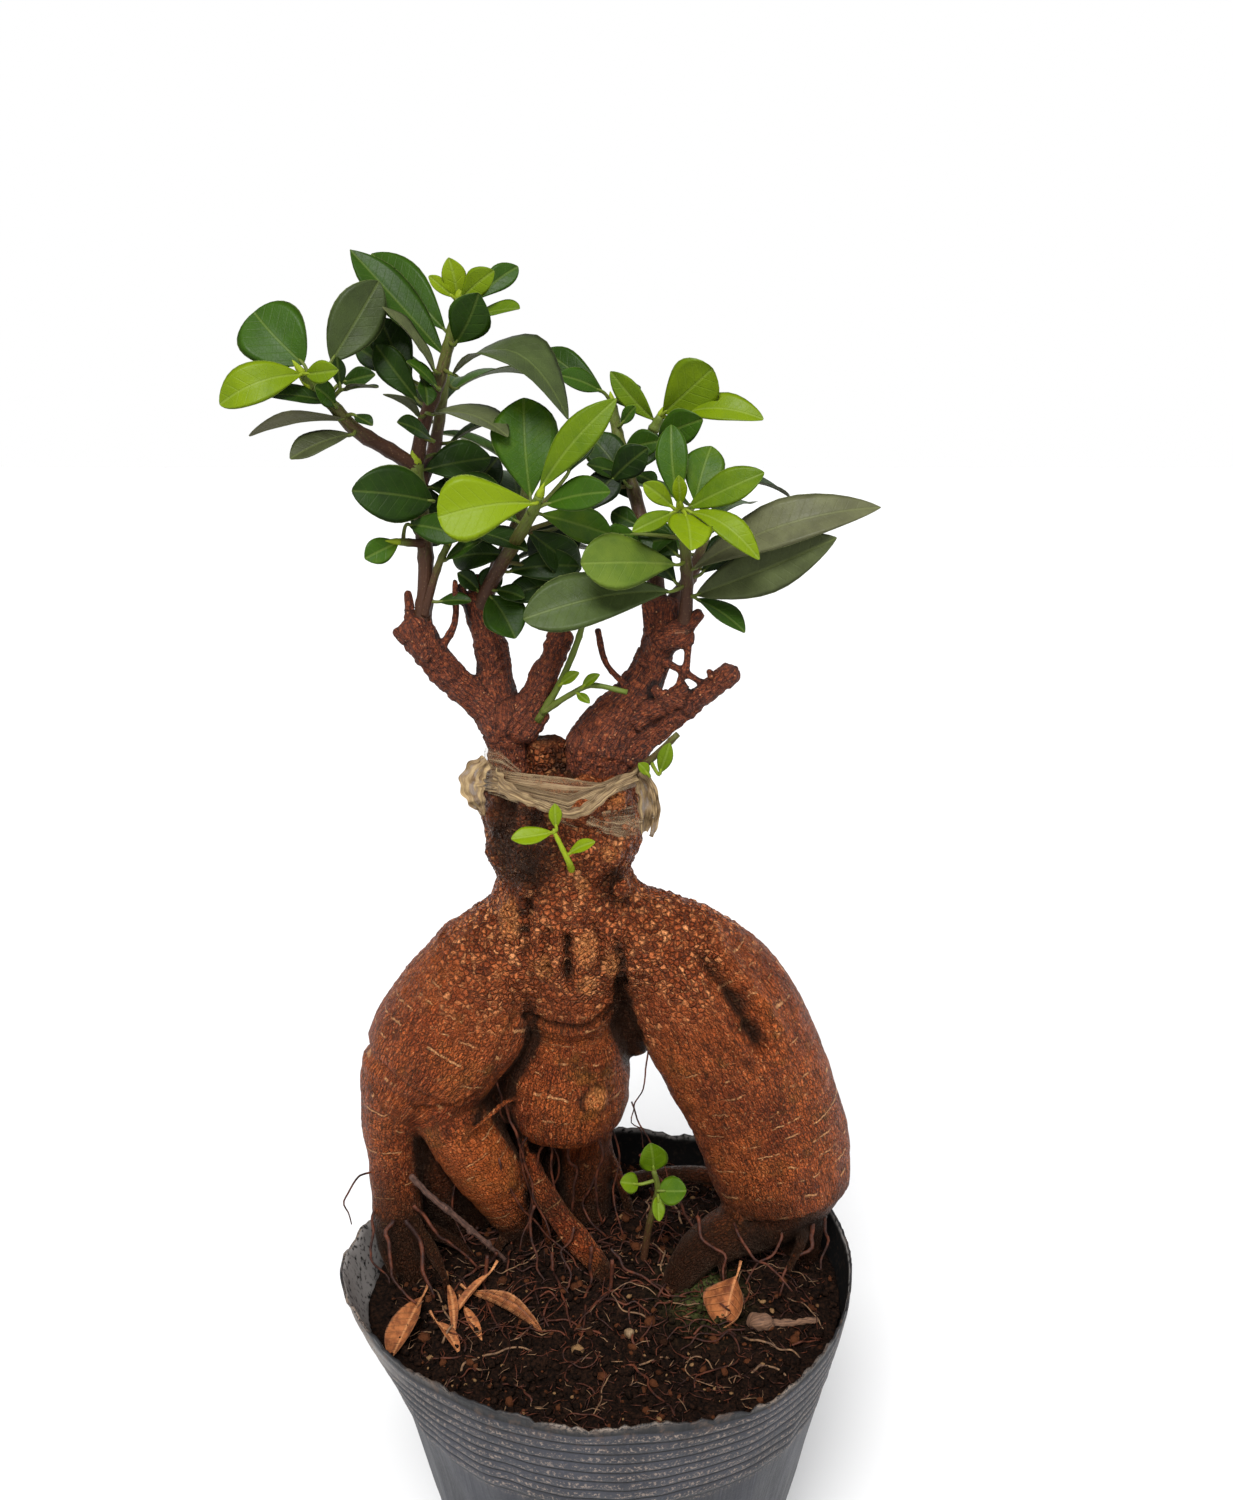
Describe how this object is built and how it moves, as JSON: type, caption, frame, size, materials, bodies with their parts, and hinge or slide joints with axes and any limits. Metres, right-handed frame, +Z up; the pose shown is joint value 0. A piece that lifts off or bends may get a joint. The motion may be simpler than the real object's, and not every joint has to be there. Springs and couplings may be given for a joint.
{
  "type": "ginseng ficus",
  "caption": "Potted ginseng ficus: a swollen, forked rootstock carrying grafted leafy crowns, standing in a soft black nursery pot filled with soil.",
  "frame": {"origin": "centre of the pot's flat base, on the surface that it stands on", "axes": "+Z up, -Y towards the front that the picture shows, +X to the right of that front"},
  "size_m": [0.1364, 0.1166, 0.3296],
  "materials": {
    "bark": "brown corky bark with pale cross scars, finely scaly on the neck",
    "scion_bark": "rough dark red-brown bark",
    "tape_film": "thin clear grafting film, crumpled and yellowed",
    "mature_leaf": "glossy dark green, with a paler dull underside",
    "young_leaf": "soft bright yellow-green",
    "dead_leaf": "dry curled orange-brown",
    "weed_leaf": "thin matt bright green",
    "dry_twig": "dry dark brown",
    "stone": "rough pale grit",
    "earth": "dark crumbly potting mix with fine roots",
    "pot_film": "soft grey-black film, finely ringed under a torn rim"
  },
  "bodies": {
    "root": {"rootstock": "bark", "scion_left": "scion_bark", "scion_right": "scion_bark", "graft_tape": "tape_film", "shoot_right": "mature_leaf", "shoot_right_tip": "young_leaf", "shoot_centre": "mature_leaf", "shoot_centre_tip": "young_leaf", "shoot_stem": "mature_leaf", "shoot_top": "mature_leaf", "shoot_top_tip": "young_leaf", "shoot_left": "mature_leaf", "shoot_left_tip": "young_leaf", "shoot_back": "mature_leaf", "shoot_back_tip": "young_leaf", "shoot_rear_left": "mature_leaf", "shoot_rear_centre": "mature_leaf", "shoot_rear_right": "mature_leaf", "inner_sprig": "young_leaf", "neck_sprout": "young_leaf", "side_sprig": "young_leaf", "weed_seedling": "weed_leaf", "fallen_leaf_1": "dead_leaf", "fallen_leaf_2": "dead_leaf", "fallen_leaf_3": "dead_leaf", "fallen_leaf_4": "dead_leaf", "fallen_leaf_5": "dead_leaf", "fallen_leaf_6": "dead_leaf", "fallen_leaf_7": "dead_leaf", "loose_twig": "dry_twig", "root_knot": "dry_twig", "pebble": "stone", "soil": "earth", "pot": "pot_film"}
  },
  "joints": []
}
